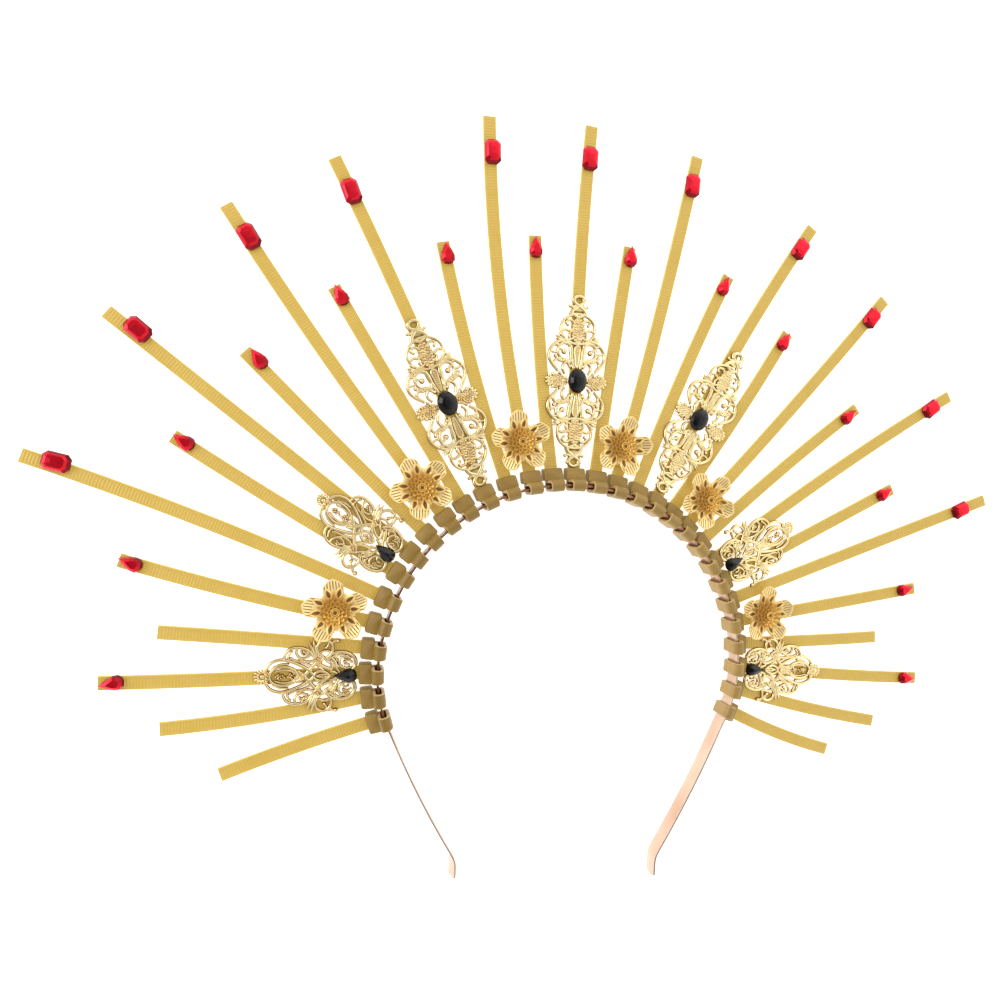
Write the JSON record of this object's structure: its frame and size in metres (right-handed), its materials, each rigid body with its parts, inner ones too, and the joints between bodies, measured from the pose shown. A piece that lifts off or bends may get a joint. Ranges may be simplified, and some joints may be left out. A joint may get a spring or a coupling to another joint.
{
  "type": "halo crown headband",
  "caption": "Halo crown on a flat metal headband: ray-like locking straps with stones, pierced filigree plates and rosette flowers, worn over the top of the head.",
  "frame": {"origin": "under the middle of the bounding box, on the surface the crown lies on", "axes": "+X to the right as seen from the front, +Y towards the top of the crown, +Z out of the front of the crown, which lies on its back"},
  "size_m": [0.3824, 0.2886, 0.0136],
  "materials": {
    "band": "polished rose-gold plating on a flat spring-steel strip",
    "strap": "nylon straps sprayed satin gold, darker and olive-brown on the heads",
    "red_stone": "faceted clear red acrylic",
    "filigree": "polished pale gold plating",
    "black_stone": "glossy black acrylic",
    "flower": "polished gold plating"
  },
  "bodies": {
    "root": {"headband": "band", "tie_01": "strap", "tie_02": "strap", "tie_03": "strap", "tie_04": "strap", "tie_05": "strap", "tie_06": "strap", "tie_07": "strap", "tie_08": "strap", "tie_09": "strap", "tie_10": "strap", "tie_11": "strap", "tie_12": "strap", "tie_13": "strap", "tie_14": "strap", "tie_15": "strap", "tie_16": "strap", "tie_17": "strap", "tie_18": "strap", "tie_19": "strap", "tie_20": "strap", "tie_21": "strap", "tie_22": "strap", "tie_23": "strap", "tie_24": "strap", "tie_25": "strap", "tie_26": "strap", "tie_27": "strap", "tie_28": "strap", "tie_29": "strap", "tie_30": "strap", "tie_31": "strap", "oblong_stone_06": "red_stone", "oblong_stone_08": "red_stone", "oblong_stone_10": "red_stone", "oblong_stone_12": "red_stone", "oblong_stone_14": "red_stone", "oblong_stone_16": "red_stone", "oblong_stone_18": "red_stone", "oblong_stone_20": "red_stone", "oblong_stone_22": "red_stone", "oblong_stone_24": "red_stone", "oblong_stone_26": "red_stone", "lozenge_plate_left": "filigree", "lozenge_plate_centre": "filigree", "lozenge_plate_right": "filigree", "fan_plate_low_left": "filigree", "fan_plate_high_left": "filigree", "fan_plate_high_right": "filigree", "fan_plate_low_right": "filigree", "oval_stone_left": "black_stone", "oval_stone_centre": "black_stone", "oval_stone_right": "black_stone", "flower_1": "flower", "flower_2": "flower", "flower_3": "flower", "flower_4": "flower", "flower_5": "flower", "flower_6": "flower"}
  },
  "joints": []
}
